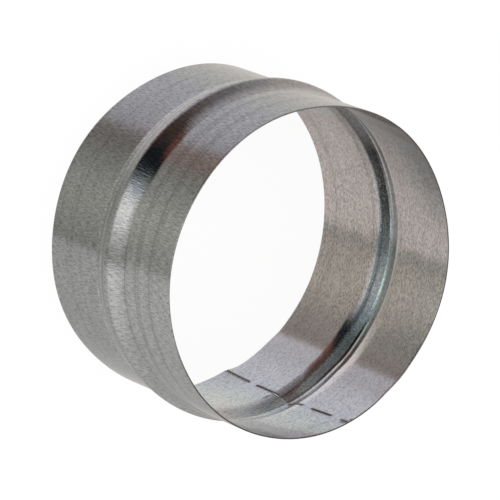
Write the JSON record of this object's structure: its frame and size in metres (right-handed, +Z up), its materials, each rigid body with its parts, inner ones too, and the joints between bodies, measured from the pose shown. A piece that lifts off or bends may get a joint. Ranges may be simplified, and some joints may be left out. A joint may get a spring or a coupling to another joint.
{
  "type": "duct connector",
  "caption": "Short round sheet-steel duct connector: a rolled, butt-welded sleeve with a rounded stop bead round its middle, open at both ends.",
  "frame": {"origin": "centre of the lower rim, on the surface the sleeve stands on", "axes": "+Z up along the sleeve's axis; +Y through the butt seam; +X to the right of a viewer who faces +Y"},
  "size_m": [0.1292, 0.1292, 0.0782],
  "materials": {
    "galvanised_sheet": "satin zinc"
  },
  "bodies": {
    "root": {"duct_connector": "galvanised_sheet"}
  },
  "joints": []
}
